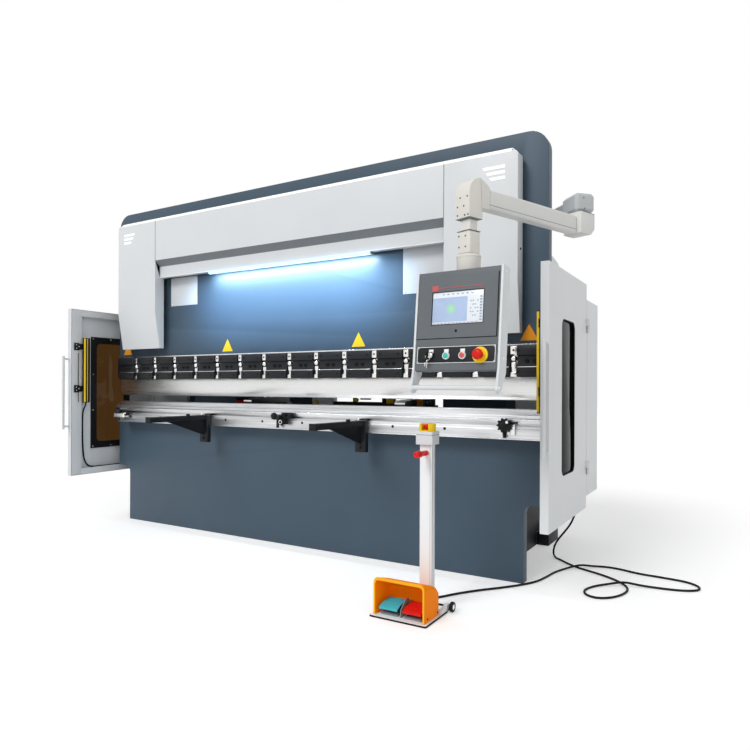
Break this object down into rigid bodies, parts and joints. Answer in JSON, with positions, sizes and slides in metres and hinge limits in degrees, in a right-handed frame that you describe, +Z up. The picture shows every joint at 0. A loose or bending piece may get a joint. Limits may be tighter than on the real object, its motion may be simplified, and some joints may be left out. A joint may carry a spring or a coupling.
{
  "type": "hydraulic press brake",
  "caption": "Hydraulic press brake: bed and ram plates with clamped tools, head cover, side guards, hanging console, support arms and a corded foot pedal station.",
  "frame": {"origin": "on the floor, at the middle of the bed plate's length and thickness", "axes": "+X to the operator's right along the bed, +Y away from the operator, +Z up"},
  "size_m": [3.9548, 2.1057, 2.2406],
  "materials": {
    "slate_paint": "satin",
    "pale_paint": "satin",
    "cream_paint": "satin",
    "ground_steel": "brushed",
    "black_oxide": "satin",
    "charcoal_panel": "satin",
    "orange_paint": "satin",
    "teal_paint": "satin",
    "red_paint": "gloss",
    "yellow_plastic": "satin",
    "tinted_glass": "gloss",
    "screen_glass": "gloss",
    "light_bar": "satin",
    "cord_rubber": "satin"
  },
  "bodies": {
    "frame": {"bed_plate": "slate_paint", "die_holder": "ground_steel", "die": "ground_steel", "front_rail": "ground_steel", "rail_stop_left": "black_oxide", "rail_stop_centre": "black_oxide", "rail_stop_right": "black_oxide", "side_frame_left": "slate_paint", "side_frame_right": "slate_paint", "oil_tank": "slate_paint", "rear_beam": "slate_paint", "gauge_guide": "slate_paint", "cylinder_left": "charcoal_panel", "cylinder_right": "charcoal_panel", "cover_left": "pale_paint", "cover_centre": "pale_paint", "cover_right": "pale_paint", "led_strip": "light_bar", "side_cover_left": "pale_paint", "side_cover_right": "pale_paint", "arm_bracket": "cream_paint", "pedal_base": "pale_paint", "pedal_hood": "orange_paint", "pedal_pole": "pale_paint", "pedal_grip": "red_paint", "stop_box": "yellow_plastic", "cord": "cord_rubber", "cord_gland": "cord_rubber"},
    "ram": {"ram_plate": "slate_paint", "clamp_row": "black_oxide", "punch": "ground_steel", "rod_left": "ground_steel", "rod_right": "ground_steel"},
    "back_gauge": {"gauge_beam": "black_oxide"},
    "guard_right": {"guard_right": "pale_paint", "guard_window_right": "tinted_glass", "guard_handle_right": "pale_paint", "light_curtain_right": "yellow_plastic"},
    "guard_left": {"guard_left": "pale_paint", "guard_window_left": "tinted_glass", "guard_handle_left": "pale_paint", "light_curtain_left": "yellow_plastic"},
    "support_left": {"support_left": "black_oxide"},
    "support_right": {"support_right": "black_oxide"},
    "arm": {"arm_elbow": "cream_paint", "arm_tube": "cream_paint", "arm_tail": "cream_paint", "arm_stem": "cream_paint"},
    "console": {"console_collar": "cream_paint", "console_body": "charcoal_panel", "console_screen": "screen_glass", "console_panel": "black_oxide", "console_stop": "red_paint", "console_handle": "pale_paint"},
    "pedal_left": {"pedal_left": "teal_paint"},
    "pedal_right": {"pedal_right": "red_paint"}
  },
  "joints": [
    {"name": "ram_slide", "type": "slide", "parent": "frame", "child": "ram", "axis": [0, 0, 1], "range_m": [-0.05, 0.05]},
    {"name": "gauge_slide", "type": "slide", "parent": "frame", "child": "back_gauge", "axis": [0, 1, 0], "range_m": [-0.03, 0.4]},
    {"name": "guard_right_hinge", "type": "hinge", "parent": "frame", "child": "guard_right", "pos_m": [1.708, 0.35, 0.55], "axis": [0, 0, 1], "range_deg": [0, 100]},
    {"name": "guard_left_hinge", "type": "hinge", "parent": "frame", "child": "guard_left", "pos_m": [-1.708, 0.35, 0.55], "axis": [0, 0, -1], "range_deg": [0, 100]},
    {"name": "support_left_slide", "type": "slide", "parent": "frame", "child": "support_left", "axis": [-1, 0, 0], "range_m": [-0.45, 0.7]},
    {"name": "support_right_slide", "type": "slide", "parent": "frame", "child": "support_right", "axis": [1, 0, 0], "range_m": [-0.45, 0.45]},
    {"name": "arm_swing", "type": "hinge", "parent": "frame", "child": "arm", "pos_m": [1.755, -0.065, 1.783], "axis": [0, 0, 1], "range_deg": [-35, 100]},
    {"name": "console_swivel", "type": "hinge", "parent": "arm", "child": "console", "pos_m": [1.491, -0.775, 1.49], "axis": [0, 0, 1], "range_deg": [-75, 75]},
    {"name": "pedal_left_press", "type": "hinge", "parent": "frame", "child": "pedal_left", "pos_m": [1.134, -0.674, 0.05], "axis": [1, 0, 0], "range_deg": [0, 7], "stiffness_Nm_per_rad": 8, "springref_deg": -14.32},
    {"name": "pedal_right_press", "type": "hinge", "parent": "frame", "child": "pedal_right", "pos_m": [1.246, -0.674, 0.05], "axis": [1, 0, 0], "range_deg": [0, 7], "stiffness_Nm_per_rad": 8, "springref_deg": -14.32}
  ]
}
